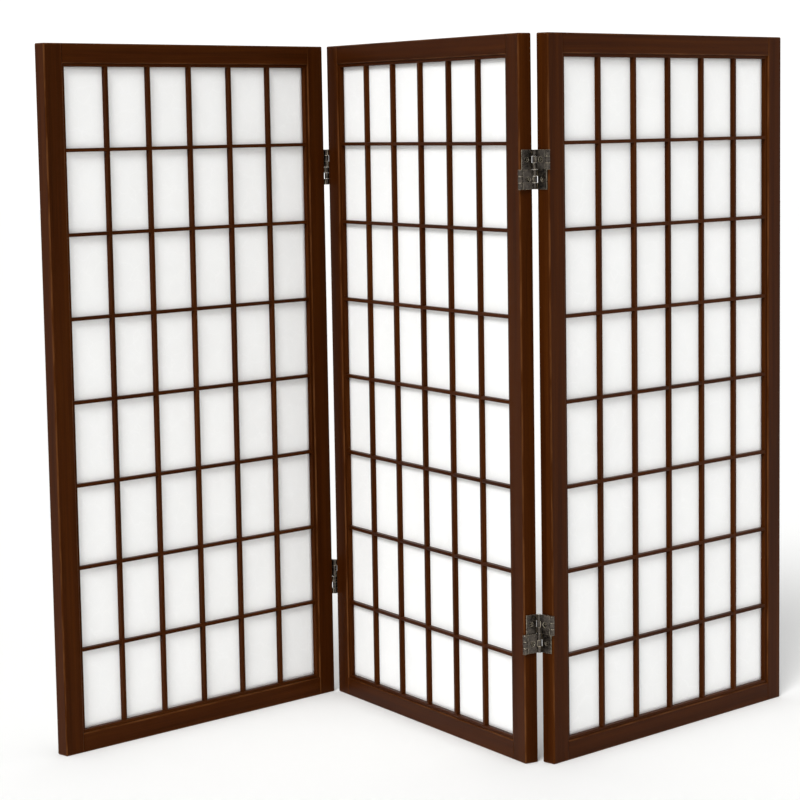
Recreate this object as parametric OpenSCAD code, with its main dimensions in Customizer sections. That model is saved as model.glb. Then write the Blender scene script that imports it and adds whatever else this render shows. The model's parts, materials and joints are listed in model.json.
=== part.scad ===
// Folding room divider screen in millimetres: three lattice panels backed with paper,
// joined at each fold by two two-way hinges. It stands in a zigzag on the floor (z = 0),
// and the middle panel's centre is the origin. The lattice faces -Y.

/* [Panel] */
// Height of each panel
panel_h = 900; // [700:10:1800]
// Width of each panel
panel_w = 470; // [350:5:600]
// Thickness of the stiles and rails, front to back
frame_t = 19; // [16:0.5:30]
// Width of each stile, seen from the front
stile_w = 28; // [22:0.5:45]
// Height of the top and bottom rails
rail_h = 25; // [22:0.5:60]
// Chamfer along the long edges of the stiles and rails
edge_ease = 1.2; // [0.4:0.1:2]

/* [Lattice] */
// Upright bars in each panel
upright_count = 5; // [2:1:8]
// Cross bars in each panel
cross_count = 7; // [2:1:12]
// Width of an upright bar, seen from the front
upright_w = 5; // [4:0.5:8]
// Width of a cross bar, seen from the front
cross_w = 4.5; // [4:0.5:8]
// Depth of a bar, front to back
bar_d = 6.5; // [5:0.5:8]
// Width of the strip that runs round the lattice
strip_w = 4; // [3:0.5:8]
// How far the lattice sits behind the front face of the frame
lattice_set = 2.2; // [1.5:0.1:3]
// Thickness of the paper
paper_t = 0.5; // [0.3:0.1:0.8]

/* [Joinery] */
// Radius of a frame dowel
dowel_r = 3; // [2:0.5:4]
// Length of a frame dowel
dowel_l = 30; // [20:1:40]
// Distance between the two dowels in a corner
dowel_pitch = 12; // [9:1:16]

/* [Hinge] */
// Height of a hinge
hinge_h = 48; // [42:1:72]
// Distance from a panel's end to the middle of the nearer hinge
hinge_inset = 164; // [100:1:250]
// Gap between two stiles when the screen is flat
hinge_gap = 7; // [6.8:0.1:8]
// Thickness of a leaf
leaf_t = 1.5; // [1.2:0.1:1.6]
// Thickness of a link
link_t = 1.4; // [1:0.1:1.6]
// Outer radius of a knuckle
knuckle_r = 3; // [2.6:0.1:3.1]
// Radius of a hinge pin
pin_r = 1.4; // [1:0.1:1.6]
// Distance of the pin axes outside the faces of the frame
axis_out = 1; // [0.6:0.1:1.5]

/* [Screws] */
// Radius of a screw's shank
screw_r = 1.25; // [1:0.05:1.4]
// Radius of a screw's countersunk head
screw_head_r = 2.8; // [2.2:0.1:3]
// Length of a screw under its head
screw_l = 13; // [8:1:16]
// Radius of the access hole over each screw in a link
access_r = 3.5; // [3.2:0.1:3.6]
// Width of the cross recess in a screw head
recess_w = 0.7; // [0.5:0.1:0.9]

/* [Fits] */
// Radial clearance of a leaf's knuckles on a pin
bore_clear = 0.05; // [0.02:0.01:0.1]
// Gap between neighbouring knuckles along a pin
knuckle_play = 0.2; // [0.1:0.05:0.4]
// Gap between a plate and the knuckles of another piece
cut_clear = 0.4; // [0.3:0.05:0.6]

/* [Pose] */
// Angle that each outer panel is folded from flat
fold = 104; // [0:1:170]

/* [Hidden] */
$fn = 48;
pitch = panel_w + hinge_gap;
axis_y = frame_t / 2 + axis_out;
front_y = -frame_t / 2;
lattice_front = front_y + lattice_set;
lattice_rear = lattice_front + bar_d;
open_w = panel_w - 2 * stile_w;
open_h = panel_h - 2 * rail_h;
grid_w = open_w - 2 * strip_w;
grid_h = open_h - 2 * strip_w;
grid_base = rail_h + strip_w;
upright_step = (grid_w + upright_w) / (upright_count + 1);
cross_step = (grid_h + cross_w) / (cross_count + 1);
half_h = hinge_h / 2;
knuckle_l = half_h / 3;
screw_rise = half_h / 2;
cut_r = knuckle_r + cut_clear;
eps = 0.01;

// Each panel's name and its side of the middle panel
PANELS = [["left_panel", -1], ["middle_panel", 0], ["right_panel", 1]];
// Each hinge's name, its side of the middle panel and the height of its middle
HINGES = [
    ["left_top_hinge", -1, panel_h - hinge_inset],
    ["left_bottom_hinge", -1, hinge_inset],
    ["right_top_hinge", 1, panel_h - hinge_inset],
    ["right_bottom_hinge", 1, hinge_inset]
];
PANEL_PIECES = [
    "left_stile", "right_stile", "top_rail", "bottom_rail", "dowels",
    "lattice_frame", "upright_bars", "cross_bars", "paper"
];
HINGE_PIECES = [
    "inner_leaf", "outer_leaf", "upper_link", "lower_link",
    "upper_link_pins", "lower_link_pins", "inner_screws", "outer_screws"
];

wood = "#3b1f0b";
bar_wood = "#4a2a14";
paper_white = "#efece6";
hinge_metal = "#4a4138";
screw_metal = "#3a332c";

// ---- Places ----

// Puts a panel's pieces where the fold holds them
module on_panel(side) {
    rotate([0, 0, -fold / 2])
        translate([side * pitch / 2, side * axis_y, 0])
            rotate([0, 0, abs(side) * fold])
                translate([side * pitch / 2, -side * axis_y, 0])
                    children();
}

// Puts a hinge's pieces at a fold, with the middle panel on their -X side.
// A piece that swings is turned with the outer panel.
module on_hinge(hinge, swings) {
    rotate([0, 0, (hinge[1] < 0 ? 180 : 0) - fold / 2])
        translate([pitch / 2, axis_y, hinge[2]])
            rotate([0, 0, swings ? fold : 0])
                translate([0, -axis_y, 0])
                    children();
}

module both_ends() {
    children();
    rotate([180, 0, 0])
        children();
}

// ---- Panel ----

// A w by t rectangle, centred, with its corners eased
module eased(w, t) {
    x = w / 2;
    y = t / 2;
    polygon([
        [-x + edge_ease, -y], [x - edge_ease, -y], [x, -y + edge_ease], [x, y - edge_ease],
        [x - edge_ease, y], [-x + edge_ease, y], [-x, y - edge_ease], [-x, -y + edge_ease]
    ]);
}

// One dowel, lying along X through the joint at each corner of the frame
module at_dowels() {
    for (x = [-1, 1], z = [rail_h / 2, panel_h - rail_h / 2], dz = [-1, 1])
        translate([x * open_w / 2, 0, z + dz * dowel_pitch / 2])
            rotate([0, 90, 0])
                children();
}

module dowel() {
    cylinder(r = dowel_r, h = dowel_l, center = true);
}

// A stile on the -X (end = -1) or +X (end = 1) side, drilled for hinge screws if hinged
module stile(end, hinged) {
    color(wood)
        difference() {
            translate([end * (panel_w - stile_w) / 2, 0, 0])
                linear_extrude(panel_h)
                    eased(stile_w, frame_t);
            at_dowels()
                dowel();
            if (hinged)
                for (z = [hinge_inset, panel_h - hinge_inset], dz = [-1, 1])
                    translate([end * (panel_w / 2 + eps), 0, z + dz * screw_rise])
                        rotate([0, -end * 90, 0])
                            cylinder(r = screw_r, h = screw_l + eps);
        }
}

module rail(z) {
    color(wood)
        difference() {
            translate([0, 0, z])
                rotate([90, 0, 90])
                    linear_extrude(open_w, center = true)
                        eased(frame_t, rail_h);
            at_dowels()
                dowel();
        }
}

module dowels() {
    color(bar_wood)
        at_dowels()
            dowel();
}

module lattice_frame() {
    color(bar_wood)
        translate([0, lattice_rear, panel_h / 2])
            rotate([90, 0, 0])
                linear_extrude(bar_d)
                    difference() {
                        square([open_w, open_h], center = true);
                        square([grid_w, grid_h], center = true);
                    }
}

function upright_x(i) = -grid_w / 2 - upright_w / 2 + i * upright_step;
function cross_z(i) = grid_base - cross_w / 2 + i * cross_step;

// Upright bars, halved at the back where the cross bars pass
module upright_bars() {
    color(bar_wood)
        difference() {
            for (i = [1:upright_count])
                translate([upright_x(i) - upright_w / 2, lattice_front, grid_base])
                    cube([upright_w, bar_d, grid_h]);
            for (i = [1:cross_count])
                translate([-grid_w / 2, lattice_front + bar_d / 2, cross_z(i) - cross_w / 2])
                    cube([grid_w, bar_d, cross_w]);
        }
}

// Cross bars, halved at the front where the upright bars pass
module cross_bars() {
    color(bar_wood)
        difference() {
            for (i = [1:cross_count])
                translate([-grid_w / 2, lattice_front, cross_z(i) - cross_w / 2])
                    cube([grid_w, bar_d, cross_w]);
            for (i = [1:upright_count])
                translate([upright_x(i) - upright_w / 2, lattice_front - bar_d / 2, grid_base])
                    cube([upright_w, bar_d, grid_h]);
        }
}

module paper() {
    color(paper_white)
        translate([-open_w / 2, lattice_rear, rail_h])
            cube([open_w, paper_t, open_h]);
}

// ---- Hinge ----
// Drawn flat: the middle panel is at -X, the outer panel at +X and z = 0 is the middle.

// The bands of a half hinge along its pins: 0 and 2 are the leaf's, 1 is the link's
function band_low(i) = i * knuckle_l + knuckle_play / 2;
function band_l(i) = knuckle_l - (i == 2 ? knuckle_play / 2 : knuckle_play);

module pin_bore(y, r) {
    translate([0, y, -hinge_h])
        cylinder(r = r, h = 2 * hinge_h);
}

// The countersunk head and shank of a screw that enters a leaf towards -X
module screw_form() {
    rotate([0, -90, 0]) {
        cylinder(r1 = screw_head_r, r2 = screw_r, h = leaf_t);
        cylinder(r = screw_r, h = leaf_t + screw_l);
    }
}

module at_screws() {
    for (end = [-1, 1])
        translate([-hinge_gap / 2 + leaf_t, 0, end * screw_rise])
            children();
}

// Upper half of the leaf on the -X side, with its knuckles on the rear axis
module half_leaf() {
    plate_y = axis_y - cut_r;
    translate([-hinge_gap / 2, -plate_y, 0])
        cube([leaf_t, 2 * plate_y, half_h]);
    for (i = [0, 2])
        translate([0, 0, band_low(i)]) {
            translate([-hinge_gap / 2, plate_y - eps, 0])
                cube([leaf_t, cut_r + eps, band_l(i)]);
            translate([0, axis_y, 0])
                cylinder(r = knuckle_r, h = band_l(i));
        }
}

module leaf() {
    color(hinge_metal)
        difference() {
            both_ends()
                half_leaf();
            for (y = [-axis_y, axis_y])
                pin_bore(y, pin_r + bore_clear);
            at_screws()
                screw_form();
        }
}

// The link of the upper half, from the rear axis of the -X leaf to the front axis of the other
module link() {
    plate_y = axis_y - cut_r;
    color(hinge_metal)
        difference() {
            union() {
                translate([-link_t / 2, -plate_y, knuckle_play / 2])
                    cube([link_t, 2 * plate_y, half_h - knuckle_play]);
                translate([-link_t / 2, -axis_y, band_low(1)])
                    cube([link_t, 2 * axis_y, band_l(1)]);
                for (y = [-axis_y, axis_y])
                    translate([0, y, band_low(1)])
                        cylinder(r = knuckle_r, h = band_l(1));
            }
            for (y = [-axis_y, axis_y])
                pin_bore(y, pin_r);
            translate([0, 0, screw_rise])
                rotate([0, 90, 0])
                    cylinder(r = access_r, h = hinge_gap, center = true);
        }
}

module pin(y, low, l) {
    translate([0, y, low])
        cylinder(r = pin_r, h = l);
}

// The pins of a link: one in the middle panel's leaf, one in the outer panel's leaf.
// A short outer pin stays inside the link's own knuckle.
module link_pins(short_outer) {
    low = knuckle_play / 2;
    color(screw_metal) {
        pin(axis_y, low, half_h - low);
        if (short_outer)
            pin(-axis_y, band_low(1), band_l(1));
        else
            pin(-axis_y, low, half_h - low);
    }
}

module screws() {
    recess = [leaf_t, recess_w, screw_head_r];
    color(screw_metal)
        at_screws()
            difference() {
                screw_form();
                for (turn = [0, 90])
                    rotate([turn, 0, 0])
                        cube(recess, center = true);
            }
}

// ---- Pieces ----

module panel_piece(panel, piece) {
    side = panel[1];
    on_panel(side) {
        if (piece == "left_stile")
            stile(-1, side > -1);
        if (piece == "right_stile")
            stile(1, side < 1);
        if (piece == "top_rail")
            rail(panel_h - rail_h / 2);
        if (piece == "bottom_rail")
            rail(rail_h / 2);
        if (piece == "dowels")
            dowels();
        if (piece == "lattice_frame")
            lattice_frame();
        if (piece == "upright_bars")
            upright_bars();
        if (piece == "cross_bars")
            cross_bars();
        if (piece == "paper")
            paper();
    }
}

module hinge_piece(hinge, piece) {
    if (piece == "inner_leaf")
        on_hinge(hinge, false)
            leaf();
    if (piece == "outer_leaf")
        on_hinge(hinge, true)
            rotate([0, 0, 180])
                leaf();
    if (piece == "upper_link")
        on_hinge(hinge, true)
            link();
    if (piece == "lower_link")
        on_hinge(hinge, false)
            rotate([180, 0, 0])
                link();
    if (piece == "upper_link_pins")
        on_hinge(hinge, true)
            link_pins(false);
    if (piece == "lower_link_pins")
        on_hinge(hinge, false)
            rotate([180, 0, 0])
                link_pins(true);
    if (piece == "inner_screws")
        on_hinge(hinge, false)
            screws();
    if (piece == "outer_screws")
        on_hinge(hinge, true)
            rotate([0, 0, 180])
                screws();
}

for (p = PANELS, piece = PANEL_PIECES)
    panel_piece(p, piece);

for (h = HINGES, piece = HINGE_PIECES)
    hinge_piece(h, piece);
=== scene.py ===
"""Folding room divider screen: three stained-wood lattice panels backed with paper,
joined by two-way hinges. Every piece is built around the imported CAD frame, in metres."""

import json
import math

import bmesh
import bpy
from mathutils import Matrix, Vector, noise

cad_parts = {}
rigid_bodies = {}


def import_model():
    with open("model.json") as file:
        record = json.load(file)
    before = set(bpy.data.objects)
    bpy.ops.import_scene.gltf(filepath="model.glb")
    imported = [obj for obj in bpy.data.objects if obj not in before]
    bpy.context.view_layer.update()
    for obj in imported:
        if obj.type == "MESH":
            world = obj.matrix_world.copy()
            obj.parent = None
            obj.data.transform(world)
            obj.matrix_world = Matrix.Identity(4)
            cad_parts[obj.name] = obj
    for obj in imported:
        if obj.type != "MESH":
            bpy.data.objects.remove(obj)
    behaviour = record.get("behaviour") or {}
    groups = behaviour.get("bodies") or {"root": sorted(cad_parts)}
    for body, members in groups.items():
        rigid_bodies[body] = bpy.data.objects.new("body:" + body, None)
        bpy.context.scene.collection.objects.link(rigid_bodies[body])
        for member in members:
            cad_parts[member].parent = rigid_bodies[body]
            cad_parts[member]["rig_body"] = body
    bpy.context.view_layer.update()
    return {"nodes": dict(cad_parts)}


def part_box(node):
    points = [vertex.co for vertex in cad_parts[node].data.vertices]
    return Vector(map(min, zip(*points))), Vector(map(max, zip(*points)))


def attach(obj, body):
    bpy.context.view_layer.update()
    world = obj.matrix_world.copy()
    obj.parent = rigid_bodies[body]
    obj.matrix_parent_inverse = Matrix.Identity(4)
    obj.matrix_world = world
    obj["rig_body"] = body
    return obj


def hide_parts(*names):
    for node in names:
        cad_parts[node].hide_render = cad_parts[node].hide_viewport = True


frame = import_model()

MM = 0.001

PANELS = ("left_panel", "middle_panel", "right_panel")
HINGES = ("left_top_hinge", "left_bottom_hinge", "right_top_hinge", "right_bottom_hinge")

# ---- Sizes of the finish, in metres ----
STILE_EASE = 1.6 * MM      # rounding sanded onto the stiles and rails
BAR_EASE = 0.45 * MM       # the thin bars are only broken at their edges
STEEL_EASE = 0.22 * MM     # stamped and tumbled hinge parts
SHEET_T = 0.2 * MM         # thickness of the paper
SHEET_BULGE = 0.3 * MM     # how far the paper bellies out between the bars
SHEET_CELL = 9 * MM        # spacing of the paper's mesh
SHEET_GAP = 0.02 * MM      # room between the paper and the lattice it is glued to
PANES_ACROSS, PANES_UP = 6, 8

# ---- Roundings of the edges ----
BOARD_SEGMENTS = 3
FINE_SEGMENTS = 2
BAR_CORNER = math.radians(45)        # a sharper turn than this is an edge to ease
STEEL_CORNER = math.radians(40)
SAME_PLANE = math.radians(0.5)
SAME_POINT = 0.002 * MM

# ---- How much the eased edges are painted lighter, for wear and painted highlight, from 0 to 1 ----
BOARD_WEAR_AND_GLINT = 0.8
BAR_WEAR_AND_GLINT = 0.15            # the thin bars get little wear and painted highlight at their edges
STEEL_WEAR_AND_GLINT = 1.0

# ---- Studio brightness ----
KEY_POWER = 2.4
ROOM_GLOW = 0.64           # the room in front and at the sides
WALL_GLOW = 1.1            # the white wall behind
KEY_TOWARD = (-0.18, -0.76, 0.62)
KEY_ANGLE = math.radians(22)

# ---- Camera ----
CAMERA_PLACE = Vector((0.347, -3.091, 0.795))
CAMERA_YAW = math.radians(-7.07)
CAMERA_PITCH = math.radians(-6.61)
CAMERA_ROLL = math.radians(-0.95)
CAMERA_LENS = 107.7        # mm, on a sensor 36 mm wide


# ---- Colour and shader helpers ----

def linear(hex_colour):
    """An sRGB hex colour as the linear RGBA that the shaders take."""
    parts = [int(hex_colour[i:i + 2], 16) / 255 for i in (1, 3, 5)]
    return [c / 12.92 if c <= 0.04045 else ((c + 0.055) / 1.055) ** 2.4 for c in parts] + [1]


def new_material(name):
    """An empty material with its shader, ready for a pattern."""
    material = bpy.data.materials.new(name)
    material.use_nodes = True
    tree = material.node_tree
    return material, tree, tree.nodes["Principled BSDF"]


def add(tree, kind, settings=None, **links):
    """Adds a node, gives it its settings, and sets or links each input.
    A link is an output socket. An input is named with _ for each space, or by i and its
    number where its name isn't its own. The stops of a ramp are (place, hex colour)."""
    node = tree.nodes.new(kind)
    for key, value in (settings or {}).items():
        if key == "stops":
            elements = node.color_ramp.elements
            while len(elements) < len(value):
                elements.new(0.5)
            for element, (place, colour) in zip(elements, value):
                element.position = place
                element.color = linear(colour)
        else:
            setattr(node, key, value)
    for key, value in links.items():
        index = int(key[1:]) if key[0] == "i" and key[1:].isdigit() else key.replace("_", " ")
        if isinstance(value, bpy.types.NodeSocket):
            tree.links.new(value, node.inputs[index])
        else:
            node.inputs[index].default_value = value
    return node


# ---- Materials ----

RANGE = "ShaderNodeMapRange"
MIX = "ShaderNodeMix"
MATH = "ShaderNodeMath"
OVER = {"data_type": "RGBA"}            # one colour laid over another
TIMES = {"operation": "MULTIPLY"}

# Wood grain: size across and along the board, noise detail and roughness
GRAIN = {
    "rings": (9 * MM, 420 * MM, 2.0, 0.5),      # growth rings along the board
    "streaks": (1.6 * MM, 90 * MM, 4.0, 0.6),   # finer streaks in the stain
    "fibres": (0.45 * MM, 14 * MM, 3.0, 0.6),   # fibre bundles
    "pores": (0.3 * MM, 4 * MM, 1.0, 0.5),      # short open pores that hold dark stain
    "wear_glint_patches": (5 * MM, 45 * MM, 3.0, 0.5),    # where the edges get more wear and painted highlight
}


def stained_wood(name, turn, along_z):
    """Close-grained softwood with a dark walnut spirit stain and a thin satin lacquer.
    The stain is almost even, so the grain is only a faint streak, and the lacquer
    gives a soft low sheen. The eased edges are painted lighter, partly as wear where the stain is rubbed
    thinner and partly as painted highlight."""
    material, tree, shader = new_material(name)
    place = add(tree, "ShaderNodeTexCoord").outputs["Object"]

    grain = {}
    for pattern, (across, along, detail, rough) in GRAIN.items():
        size = (across, across, along) if along_z else (along, across, across)
        mapped = add(tree, "ShaderNodeMapping", {"vector_type": "TEXTURE"},
                     Vector=place, Rotation=(0, 0, turn), Scale=size)
        grain[pattern] = add(tree, "ShaderNodeTexNoise", Vector=mapped.outputs["Vector"],
                             Scale=1.0, Detail=detail, Roughness=rough).outputs["Fac"]

    stain = add(tree, "ShaderNodeValToRGB",
                {"stops": [(0.3, "#2c1002"), (0.5, "#351503"), (0.72, "#3f1c04")]},
                Fac=grain["rings"]).outputs["Color"]
    # pattern, where it starts and is full, how strong it is, and its colour
    for pattern, start, full, strength, colour in (("streaks", 0.42, 0.72, 0.3, "#4c2708"),
                                                   ("fibres", 0.5, 0.75, 0.25, "#221003"),
                                                   ("pores", 0.66, 0.74, 0.7, "#150802")):
        amount = add(tree, RANGE, Value=grain[pattern], From_Min=start, From_Max=full,
                     To_Min=0.0, To_Max=strength)
        stain = add(tree, MIX, OVER, i0=amount.outputs["Result"], i6=stain,
                    i7=linear(colour)).outputs[2]

    # Eased edges painted lighter: partly wear where the stain is rubbed thin, partly painted highlight
    # standing in for glints on the edges.
    wear_glint_mask = add(tree, "ShaderNodeAttribute", {"attribute_name": "rubbed"}).outputs["Fac"]
    patchy_wear_glint = add(tree, RANGE, Value=grain["wear_glint_patches"], From_Min=0.4, From_Max=0.65,
                 To_Min=0.1, To_Max=0.7)
    rubbed = add(tree, MATH, TIMES, i0=wear_glint_mask, i1=patchy_wear_glint.outputs["Result"])
    stain = add(tree, MIX, OVER, i0=rubbed.outputs[0], i6=stain, i7=linear("#6a4224")).outputs[2]
    tree.links.new(stain, shader.inputs["Base Color"])

    sheen = add(tree, RANGE, Value=grain["streaks"], From_Min=0.3, From_Max=0.7,
                To_Min=0.34, To_Max=0.46)
    tree.links.new(sheen.outputs["Result"], shader.inputs["Roughness"])
    shader.inputs["Specular IOR Level"].default_value = 0.07
    shader.inputs["Specular Tint"].default_value = linear("#e0a060")

    open_pores = add(tree, RANGE, Value=grain["pores"], From_Min=0.66, From_Max=0.74,
                     To_Min=0.0, To_Max=1.0)
    relief = add(tree, MATH, {"operation": "SUBTRACT"},
                 i0=grain["fibres"], i1=open_pores.outputs["Result"])
    bump = add(tree, "ShaderNodeBump", Height=relief.outputs[0], Strength=0.25,
               Distance=0.06 * MM)
    tree.links.new(bump.outputs["Normal"], shader.inputs["Normal"])
    return material


def bare_beech():
    """Beech dowel, unfinished: pale, dry and matt. It is inside the joints."""
    material, tree, shader = new_material("bare_beech")
    place = add(tree, "ShaderNodeTexCoord").outputs["Object"]
    mapped = add(tree, "ShaderNodeMapping", {"vector_type": "TEXTURE"},
                 Vector=place, Scale=(2 * MM, 2 * MM, 2 * MM))
    flecks = add(tree, "ShaderNodeTexNoise", Vector=mapped.outputs["Vector"],
                 Scale=1.0, Detail=3.0, Roughness=0.5)
    wood = add(tree, "ShaderNodeValToRGB", {"stops": [(0.35, "#b98f5f"), (0.65, "#d0aa7c")]},
               Fac=flecks.outputs["Fac"])
    tree.links.new(wood.outputs["Color"], shader.inputs["Base Color"])
    shader.inputs["Roughness"].default_value = 0.7
    return material


def rice_paper():
    """White rice paper: matt, a little translucent, with long pale fibres in the pulp."""
    material, tree, shader = new_material("rice_paper")
    place = add(tree, "ShaderNodeTexCoord").outputs["Object"]
    noises = {}
    for pattern, size, detail, rough in (("cloud", 60 * MM, 2.0, 0.5), ("pulp", 1.2 * MM, 4.0, 0.65)):
        mapped = add(tree, "ShaderNodeMapping", {"vector_type": "TEXTURE"},
                     Vector=place, Scale=(size, size, size))
        noises[pattern] = add(tree, "ShaderNodeTexNoise", Vector=mapped.outputs["Vector"],
                              Scale=1.0, Detail=detail, Roughness=rough).outputs["Fac"]
    bent = add(tree, "ShaderNodeTexNoise", Vector=place, Scale=1 / (25 * MM), Detail=2.0)
    wander = add(tree, MIX, {"data_type": "RGBA", "blend_type": "ADD"},
                 i0=0.02, i6=place, i7=bent.outputs["Color"])
    strands = add(tree, "ShaderNodeTexVoronoi", {"feature": "DISTANCE_TO_EDGE"},
                  Vector=wander.outputs[2], Scale=1 / (22 * MM))
    strand = add(tree, RANGE, Value=strands.outputs["Distance"], From_Min=0.0, From_Max=0.03,
                 To_Min=1.0, To_Max=0.0).outputs["Result"]
    white = add(tree, "ShaderNodeValToRGB", {"stops": [(0.3, "#f0f0ef"), (0.7, "#f5f5f4")]},
                Fac=noises["cloud"]).outputs["Color"]
    specks = add(tree, RANGE, Value=noises["pulp"], From_Min=0.35, From_Max=0.7,
                 To_Min=0.0, To_Max=0.35)
    white = add(tree, MIX, OVER, i0=specks.outputs["Result"], i6=white,
                i7=linear("#eaeae8")).outputs[2]
    faint = add(tree, MATH, TIMES, i0=strand, i1=0.3)
    white = add(tree, MIX, OVER, i0=faint.outputs[0], i6=white, i7=linear("#fbfbfa")).outputs[2]
    tree.links.new(white, shader.inputs["Base Color"])
    shader.inputs["Roughness"].default_value = 0.85
    shader.inputs["Specular IOR Level"].default_value = 0.2
    shader.inputs["Subsurface Weight"].default_value = 0.15
    shader.inputs["Subsurface Radius"].default_value = (1.2 * MM, 1.1 * MM, 1.0 * MM)
    shader.inputs["Subsurface Scale"].default_value = 1.0
    height = add(tree, MATH, {"operation": "ADD"}, i0=noises["pulp"], i1=strand)
    bump = add(tree, "ShaderNodeBump", Height=height.outputs[0], Strength=0.2,
               Distance=0.03 * MM)
    tree.links.new(bump.outputs["Normal"], shader.inputs["Normal"])
    return material


def antique_bronze():
    """Stamped steel with a dark antique bronze plating, tumbled so that the edges rub
    through to a warmer metal, painted brighter as highlight on the edges. Mottled plating makes the
    gloss uneven."""
    material, tree, shader = new_material("antique_bronze")
    place = add(tree, "ShaderNodeTexCoord").outputs["Object"]
    noises = {}
    for pattern, size, detail, rough in (("mottle", 3.5 * MM, 4.0, 0.6), ("tumble", 0.5 * MM, 2.0, 0.5)):
        mapped = add(tree, "ShaderNodeMapping", {"vector_type": "TEXTURE"},
                     Vector=place, Scale=(size, size, size))
        noises[pattern] = add(tree, "ShaderNodeTexNoise", Vector=mapped.outputs["Vector"],
                              Scale=1.0, Detail=detail, Roughness=rough).outputs["Fac"]
    plating = add(tree, "ShaderNodeValToRGB",
                  {"stops": [(0.3, "#3b3631"), (0.55, "#56504a"), (0.75, "#6e6558")]},
                  Fac=noises["mottle"])
    # Eased edges painted bright: wear through the plating and painted glints.
    wear_glint_mask = add(tree, "ShaderNodeAttribute", {"attribute_name": "rubbed"}).outputs["Fac"]
    patchy_wear_glint = add(tree, RANGE, Value=noises["mottle"], From_Min=0.35, From_Max=0.6,
                 To_Min=0.35, To_Max=1.0)
    rubbed = add(tree, MATH, TIMES, i0=wear_glint_mask, i1=patchy_wear_glint.outputs["Result"])
    metal = add(tree, MIX, OVER, i0=rubbed.outputs[0], i6=plating.outputs["Color"],
                i7=linear("#e4d8c0"))
    tree.links.new(metal.outputs[2], shader.inputs["Base Color"])
    gloss = add(tree, RANGE, Value=noises["mottle"], From_Min=0.3, From_Max=0.7,
                To_Min=0.2, To_Max=0.38)
    tree.links.new(gloss.outputs["Result"], shader.inputs["Roughness"])
    shader.inputs["Metallic"].default_value = 1.0
    bump = add(tree, "ShaderNodeBump", Height=noises["tumble"], Strength=0.3,
               Distance=0.05 * MM)
    tree.links.new(bump.outputs["Normal"], shader.inputs["Normal"])
    return material


def blackened_steel():
    """Oil-blackened steel for the screws and pins: nearly black, with a sharp low gleam."""
    material, tree, shader = new_material("blackened_steel")
    place = add(tree, "ShaderNodeTexCoord").outputs["Object"]
    mapped = add(tree, "ShaderNodeMapping", {"vector_type": "TEXTURE"},
                 Vector=place, Scale=(1.5 * MM, 1.5 * MM, 1.5 * MM))
    mottle = add(tree, "ShaderNodeTexNoise", Vector=mapped.outputs["Vector"],
                 Scale=1.0, Detail=3.0, Roughness=0.5).outputs["Fac"]
    black = add(tree, "ShaderNodeValToRGB", {"stops": [(0.3, "#171513"), (0.7, "#2b2825")]},
                Fac=mottle)
    # Eased edges painted pale: wear and painted glints.
    wear_glint_mask = add(tree, "ShaderNodeAttribute", {"attribute_name": "rubbed"}).outputs["Fac"]
    rubbed = add(tree, MATH, TIMES, i0=wear_glint_mask, i1=0.6)
    metal = add(tree, MIX, OVER, i0=rubbed.outputs[0], i6=black.outputs["Color"],
                i7=linear("#b8ab98"))
    tree.links.new(metal.outputs[2], shader.inputs["Base Color"])
    gloss = add(tree, RANGE, Value=mottle, From_Min=0.3, From_Max=0.7, To_Min=0.18, To_Max=0.3)
    tree.links.new(gloss.outputs["Result"], shader.inputs["Roughness"])
    shader.inputs["Metallic"].default_value = 1.0
    return material


def studio_paper():
    """Matt white background paper."""
    material, _, shader = new_material("studio_paper")
    shader.inputs["Base Color"].default_value = linear("#f4f4f3")
    shader.inputs["Roughness"].default_value = 0.9
    shader.inputs["Specular IOR Level"].default_value = 0.1
    return material


# ---- Mesh helpers ----

def body_of(node):
    return frame["nodes"][node]["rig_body"]


def local_box(node, place):
    """Lowest and highest corner of a CAD node, measured in a panel's own axes."""
    back = place.inverted()
    points = [back @ v.co for v in frame["nodes"][node].data.vertices]
    return Vector(map(min, zip(*points))), Vector(map(max, zip(*points)))


def ease(bm, edges, radius, segments, wear_glint_mask, wear_glint_amount):
    """Rounds edges and marks the rounded faces with how much wear and painted highlight they get."""
    made = bmesh.ops.bevel(bm, geom=edges, offset=radius, offset_type="OFFSET",
                           segments=segments, profile=0.5, affect="EDGES",
                           clamp_overlap=True, material=-1)
    for face in made["faces"]:
        for loop in face.loops:
            loop[wear_glint_mask] = wear_glint_amount


def finish_piece(name, bm, material, node, place=None):
    """Turns a bmesh into a piece that stands for a CAD node and rides on its body."""
    if place:
        bmesh.ops.transform(bm, matrix=place, verts=bm.verts)
    mesh = bpy.data.meshes.new(name)
    bm.to_mesh(mesh)
    bm.free()
    mesh.materials.append(material)
    piece = bpy.data.objects.new(name, mesh)
    bpy.context.scene.collection.objects.link(piece)
    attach(piece, body_of(node))
    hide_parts(node)
    return piece


def soften(piece):
    """Smooth shading that keeps flat faces flat and real corners sharp."""
    piece.data.shade_smooth()
    piece.data.set_sharp_from_angle(angle=STEEL_CORNER)
    modifier = piece.modifiers.new("even_normals", "WEIGHTED_NORMAL")
    modifier.keep_sharp = True


def new_board_mesh():
    bm = bmesh.new()
    return bm, bm.loops.layers.float.new("rubbed")


def add_board(bm, wear_glint_mask, low, high, radius, wear_glint_amount, square_ends=None):
    """A board from one corner to the other, its edges eased.
    square_ends names the axis along which it runs into its neighbours."""
    verts = bmesh.ops.create_cube(bm, size=1)["verts"]
    bmesh.ops.scale(bm, vec=high - low, verts=verts)
    bmesh.ops.translate(bm, vec=(low + high) / 2, verts=verts)
    edges = [e for e in bm.edges if e.verts[0] in verts]
    if square_ends is not None:
        edges = [e for e in edges
                 if abs(e.verts[0].co[square_ends] - e.verts[1].co[square_ends]) > MM]
    ease(bm, edges, radius, BOARD_SEGMENTS, wear_glint_mask, wear_glint_amount)


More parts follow.
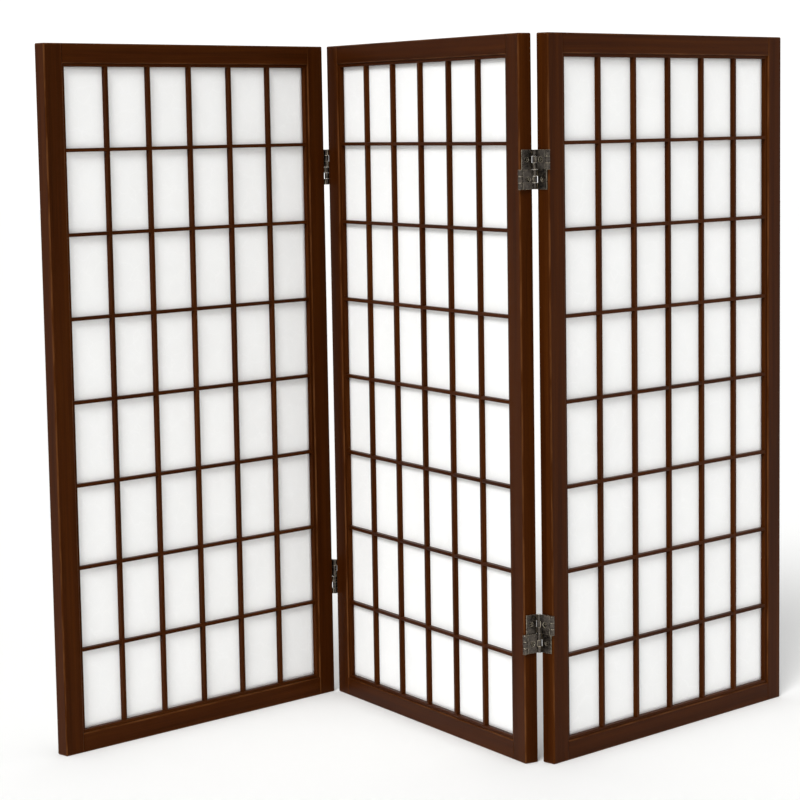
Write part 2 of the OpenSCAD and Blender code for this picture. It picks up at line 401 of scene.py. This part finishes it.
def clean_copy(node, radius, corner, wear_glint_amount):
    """A merged copy of a CAD node, with every real corner eased."""
    bm = bmesh.new()
    bm.from_mesh(frame["nodes"][node].data)
    for layer in list(bm.loops.layers.uv):
        bm.loops.layers.uv.remove(layer)
    wear_glint_mask = bm.loops.layers.float.new("rubbed")
    bmesh.ops.remove_doubles(bm, verts=bm.verts, dist=SAME_POINT)
    bmesh.ops.dissolve_limit(bm, angle_limit=SAME_PLANE, verts=bm.verts, edges=bm.edges)
    corners = [e for e in bm.edges
               if len(e.link_faces) == 2 and e.calc_face_angle() > corner]
    ease(bm, corners, radius, FINE_SEGMENTS, wear_glint_mask, wear_glint_amount)
    return bm


# ---- Panels ----

def panel_place(panel):
    """A panel's own axes: X across its width, Y to its back, Z up from the floor."""
    left, right = (sum(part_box(f"{panel}_{side}_stile"), Vector()) / 2
                   for side in ("left", "right"))
    across = (right - left).normalized()
    back = Vector((0, 0, 1)).cross(across)
    foot = (left + right) / 2
    return Matrix(((across.x, back.x, 0, foot.x), (across.y, back.y, 0, foot.y),
                   (0, 0, 1, 0), (0, 0, 0, 1)))


def frame_boards(panel, place, upright_wood, level_wood):
    """The two stiles run the whole height, and the rails butt between them."""
    for piece, wood, square in (("left_stile", upright_wood, None),
                                ("right_stile", upright_wood, None),
                                ("top_rail", level_wood, 0), ("bottom_rail", level_wood, 0)):
        node = f"{panel}_{piece}"
        bm, wear_glint_mask = new_board_mesh()
        add_board(bm, wear_glint_mask, *local_box(node, place), STILE_EASE, BOARD_WEAR_AND_GLINT, square)
        finish_piece(f"{node}_board", bm, wood, node, place)


def lattice_strips(panel, place, upright_wood, level_wood):
    """The strip round the lattice: two long sides with the short ones butted between."""
    node = f"{panel}_lattice_frame"
    low, high = local_box(node, place)
    bars_low, bars_high = local_box(f"{panel}_cross_bars", place)
    strip = bars_low.x - low.x
    sides, ends = new_board_mesh(), new_board_mesh()
    for x in (low.x, high.x - strip):
        add_board(*sides, Vector((x, low.y, low.z)), Vector((x + strip, high.y, high.z)),
                  BAR_EASE, BAR_WEAR_AND_GLINT)
    for z in (low.z, high.z - strip):
        add_board(*ends, Vector((bars_low.x, low.y, z)), Vector((bars_high.x, high.y, z + strip)),
                  BAR_EASE, BAR_WEAR_AND_GLINT, 0)
    finish_piece(f"{node}_sides", sides[0], upright_wood, node, place)
    finish_piece(f"{node}_ends", ends[0], level_wood, node, place)


def lattice_bars(panel, upright_wood, level_wood):
    """Half-lapped bars, copied from the CAD with their edges broken."""
    for piece, wood in (("upright_bars", upright_wood), ("cross_bars", level_wood)):
        node = f"{panel}_{piece}"
        finish_piece(f"{node}_eased", clean_copy(node, BAR_EASE, BAR_CORNER, BAR_WEAR_AND_GLINT),
                     wood, node)


def paper_sheet(panel, place, paper):
    """One sheet glued to the back of the lattice. Between the bars it bellies back a little."""
    node = f"{panel}_paper"
    low, high = local_box(node, place)
    width, height = high.x - low.x, high.z - low.z
    columns, rows = round(width / SHEET_CELL), round(height / SHEET_CELL)
    bm = bmesh.new()
    bmesh.ops.create_grid(bm, x_segments=columns, y_segments=rows, size=0.5)
    stand_up = Matrix.Rotation(math.radians(90), 4, "X")
    bmesh.ops.transform(bm, matrix=stand_up @ Matrix.Diagonal((width, height, 1, 1)), verts=bm.verts)
    bmesh.ops.translate(bm, vec=Vector(((low.x + high.x) / 2, low.y, (low.z + high.z) / 2)),
                        verts=bm.verts)
    for v in bm.verts:
        u = (v.co.x - low.x) / width * PANES_ACROSS
        w = (v.co.z - low.z) / height * PANES_UP
        belly = abs(math.sin(math.pi * u) * math.sin(math.pi * w))
        slack = 0.6 + 0.4 * noise.noise(Vector((u, w, len(panel))) * 0.9)
        v.co.y += SHEET_GAP + SHEET_BULGE * belly * slack
    piece = finish_piece(f"{node}_sheet", bm, paper, node, place)
    piece.data.shade_smooth()
    thick = piece.modifiers.new("thickness", "SOLIDIFY")
    thick.thickness = SHEET_T
    thick.offset = 1.0


paper = rice_paper()
beech = bare_beech()
bronze = antique_bronze()
black_steel = blackened_steel()
upright_wood = stained_wood("walnut_stain_upright", 0, True)

for panel in PANELS:
    place = panel_place(panel)
    turn = math.atan2(place[1][0], place[0][0])
    level_wood = stained_wood(f"walnut_stain_level_{panel}", turn, False)
    frame_boards(panel, place, upright_wood, level_wood)
    lattice_strips(panel, place, upright_wood, level_wood)
    lattice_bars(panel, upright_wood, level_wood)
    paper_sheet(panel, place, paper)
    dowels = frame["nodes"][f"{panel}_dowels"].data
    dowels.materials.clear()
    dowels.materials.append(beech)

# ---- Hinges ----

HINGE_PIECES = (
    ("inner_leaf", bronze, "hinge_metal"), ("outer_leaf", bronze, "hinge_metal"),
    ("upper_link", bronze, "hinge_metal"), ("lower_link", bronze, "hinge_metal"),
    ("upper_link_pins", black_steel, "pin_metal"), ("lower_link_pins", black_steel, "pin_metal"),
    ("inner_screws", black_steel, "pin_metal"), ("outer_screws", black_steel, "pin_metal"),
)

for hinge in HINGES:
    for piece, metal, slot in HINGE_PIECES:
        node = f"{hinge}_{piece}"
        soften(finish_piece(f"{node}_tumbled", clean_copy(node, STEEL_EASE, STEEL_CORNER, STEEL_WEAR_AND_GLINT),
                            metal, node))


# ---- Studio ----

def floor():
    bm = bmesh.new()
    bmesh.ops.create_grid(bm, x_segments=1, y_segments=1, size=20)
    mesh = bpy.data.meshes.new("studio_floor")
    bm.to_mesh(mesh)
    bm.free()
    mesh.materials.append(studio_paper())
    sheet = bpy.data.objects.new("studio_floor", mesh)
    bpy.context.scene.collection.objects.link(sheet)


def key_light(toward, angle, power):
    """Even, soft light from a direction: above the camera and a little to the left."""
    light = bpy.data.lights.new("key", "SUN")
    light.energy = power
    light.angle = angle
    lamp = bpy.data.objects.new("key", light)
    lamp.rotation_euler = Vector(toward).to_track_quat("Z", "Y").to_euler()
    bpy.context.scene.collection.objects.link(lamp)


def camera(place, yaw, pitch, roll, lens):
    """yaw is clockwise from +Y seen from above, pitch above the horizon, roll clockwise."""
    look = Vector((math.sin(yaw) * math.cos(pitch), math.cos(yaw) * math.cos(pitch),
                   math.sin(pitch)))
    right = Vector((math.cos(yaw), -math.sin(yaw), 0))
    up = right.cross(look)
    across = right * math.cos(roll) + up * math.sin(roll)
    above = up * math.cos(roll) - right * math.sin(roll)
    view = bpy.data.cameras.new("camera")
    view.lens = lens
    view.sensor_width = 36
    eye = bpy.data.objects.new("camera", view)
    eye.matrix_world = Matrix.Translation(place) @ Matrix((across, above, -look)).transposed().to_4x4()
    bpy.context.scene.collection.objects.link(eye)
    bpy.context.scene.camera = eye


def studio_room():
    """A bright white wall behind the screen, and a dimmer room round the other sides."""
    world = bpy.data.worlds.new("studio_room")
    bpy.context.scene.world = world
    world.use_nodes = True
    tree = world.node_tree
    way = add(tree, "ShaderNodeTexCoord").outputs["Generated"]
    back = add(tree, "ShaderNodeSeparateXYZ", Vector=way).outputs["Y"]
    glow = add(tree, RANGE, Value=back, From_Min=0.8, From_Max=0.95,
               To_Min=ROOM_GLOW, To_Max=WALL_GLOW)
    tree.links.new(glow.outputs["Result"], tree.nodes["Background"].inputs["Strength"])
    tree.nodes["Background"].inputs["Color"].default_value = (1, 1, 1, 1)


floor()
key_light(KEY_TOWARD, KEY_ANGLE, KEY_POWER)
studio_room()
bpy.context.scene.view_settings.view_transform = "Standard"

camera(CAMERA_PLACE, CAMERA_YAW, CAMERA_PITCH, CAMERA_ROLL, CAMERA_LENS)
